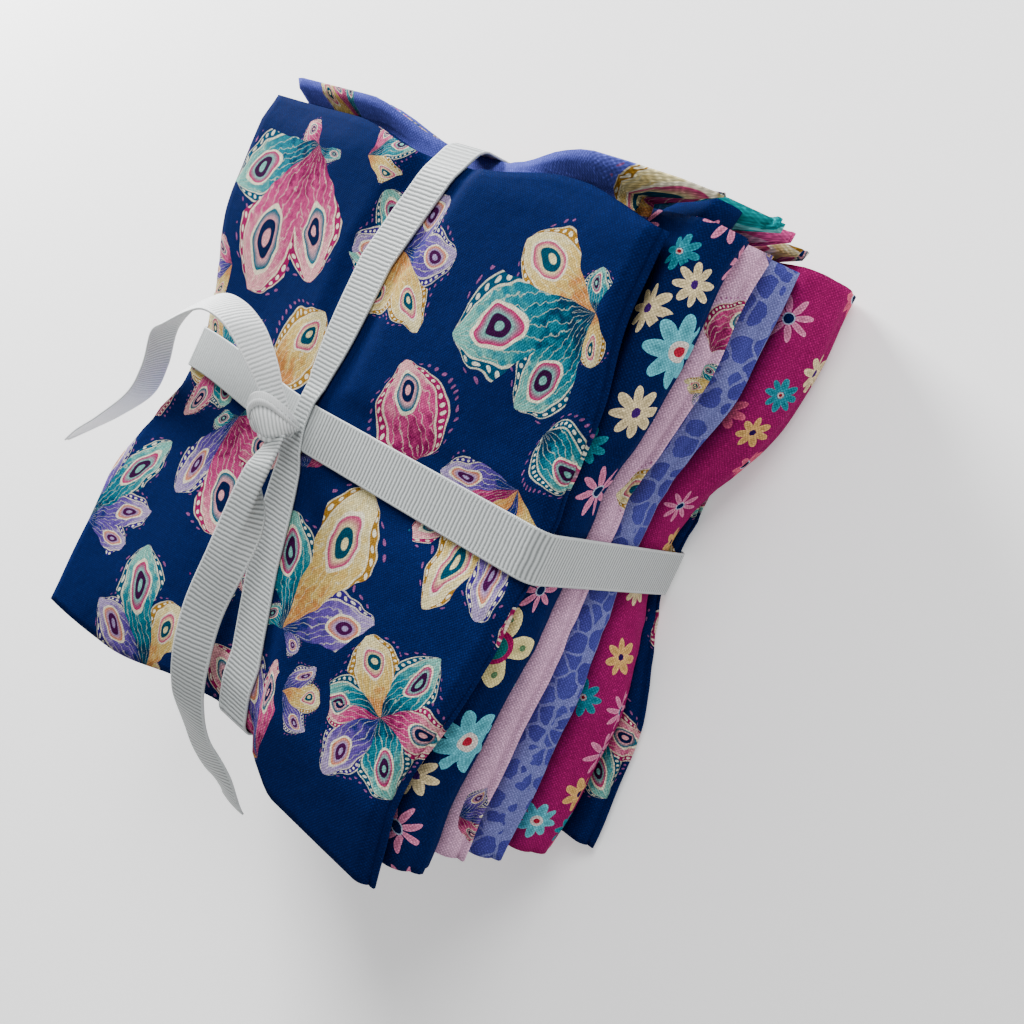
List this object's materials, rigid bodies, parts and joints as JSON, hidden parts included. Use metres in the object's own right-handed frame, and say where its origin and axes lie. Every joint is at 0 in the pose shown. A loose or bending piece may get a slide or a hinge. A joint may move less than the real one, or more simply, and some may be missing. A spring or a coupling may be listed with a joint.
{
  "type": "fat quarter bundle tied with ribbon",
  "caption": "Stack of folded printed cottons lying on its back, tied both ways with a narrow ribbon that ends in a knot and two free ends.",
  "frame": {"origin": "middle of the whole outline, free ribbon ends included, on the surface that the bundle lies on", "axes": "+Z out of the face of the stack, +X towards the side whose outer folds show, +Y towards the far end, where the ribbon leaves the face"},
  "size_m": [0.1849, 0.1686, 0.0889],
  "materials": {
    "navy_print": "plain-woven cotton, printed",
    "periwinkle_print": "plain-woven cotton, printed",
    "navy_daisy_print": "plain-woven cotton, printed",
    "teal_dot_print": "plain-woven cotton, printed",
    "pink_print": "plain-woven cotton, printed",
    "pink_dot_print": "plain-woven cotton, printed",
    "blue_dot_print": "plain-woven cotton, printed",
    "cream_print": "plain-woven cotton, printed",
    "magenta_print": "plain-woven cotton, printed",
    "ribbon_white": "ribbed ribbon, satin"
  },
  "bodies": {
    "root": {"cloth_navy_face": "navy_print", "cloth_periwinkle": "periwinkle_print", "cloth_navy_daisy": "navy_daisy_print", "cloth_teal_dots": "teal_dot_print", "cloth_pink_scroll": "pink_print", "cloth_pink_dots": "pink_dot_print", "cloth_blue_dots": "blue_dot_print", "cloth_cream": "cream_print", "cloth_magenta": "magenta_print", "cloth_navy_back": "navy_print", "ribbon_across": "ribbon_white", "ribbon_along": "ribbon_white", "ribbon_knot": "ribbon_white", "ribbon_tail_side": "ribbon_white", "ribbon_tail_near": "ribbon_white"}
  },
  "joints": []
}
